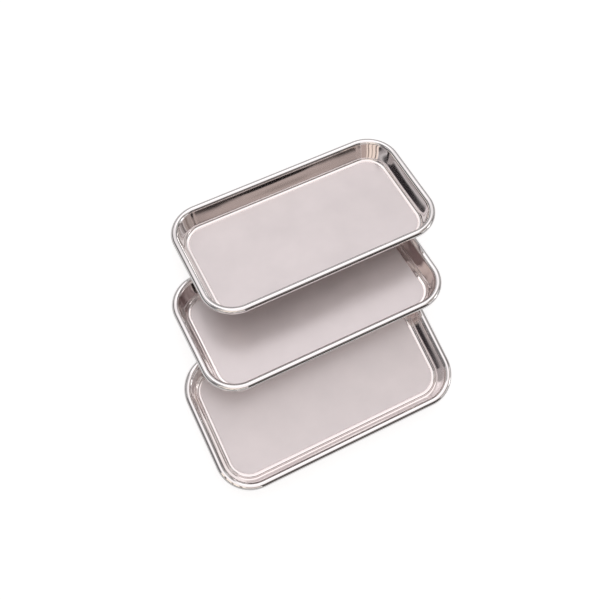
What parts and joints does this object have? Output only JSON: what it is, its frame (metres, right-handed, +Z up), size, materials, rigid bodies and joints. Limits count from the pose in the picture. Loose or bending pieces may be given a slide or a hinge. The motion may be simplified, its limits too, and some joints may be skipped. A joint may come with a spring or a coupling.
{
  "type": "pressed steel counting tray set",
  "caption": "Set of low rectangular pressed steel trays with rolled rims and drafted walls, shingled one on the next.",
  "frame": {"origin": "centre of the set's bounding box on the table plane, under the shingled trays", "axes": "+X to the right along the trays' length, +Y to the rear across their width, +Z up"},
  "size_m": [0.27, 0.2518, 0.0555],
  "materials": {
    "tray_steel": "satin floor, polished wall and rim"
  },
  "bodies": {
    "bottom_tray": {"bottom_tray": "tray_steel"},
    "middle_tray": {"middle_tray": "tray_steel"},
    "top_tray": {"top_tray": "tray_steel"}
  },
  "joints": [
    {"name": "middle_tray_lift", "type": "slide", "parent": "bottom_tray", "child": "middle_tray", "axis": [0, 0, 1], "range_m": [0, 0.1]},
    {"name": "top_tray_lift", "type": "slide", "parent": "middle_tray", "child": "top_tray", "axis": [0, 0, 1], "range_m": [0, 0.1]}
  ]
}
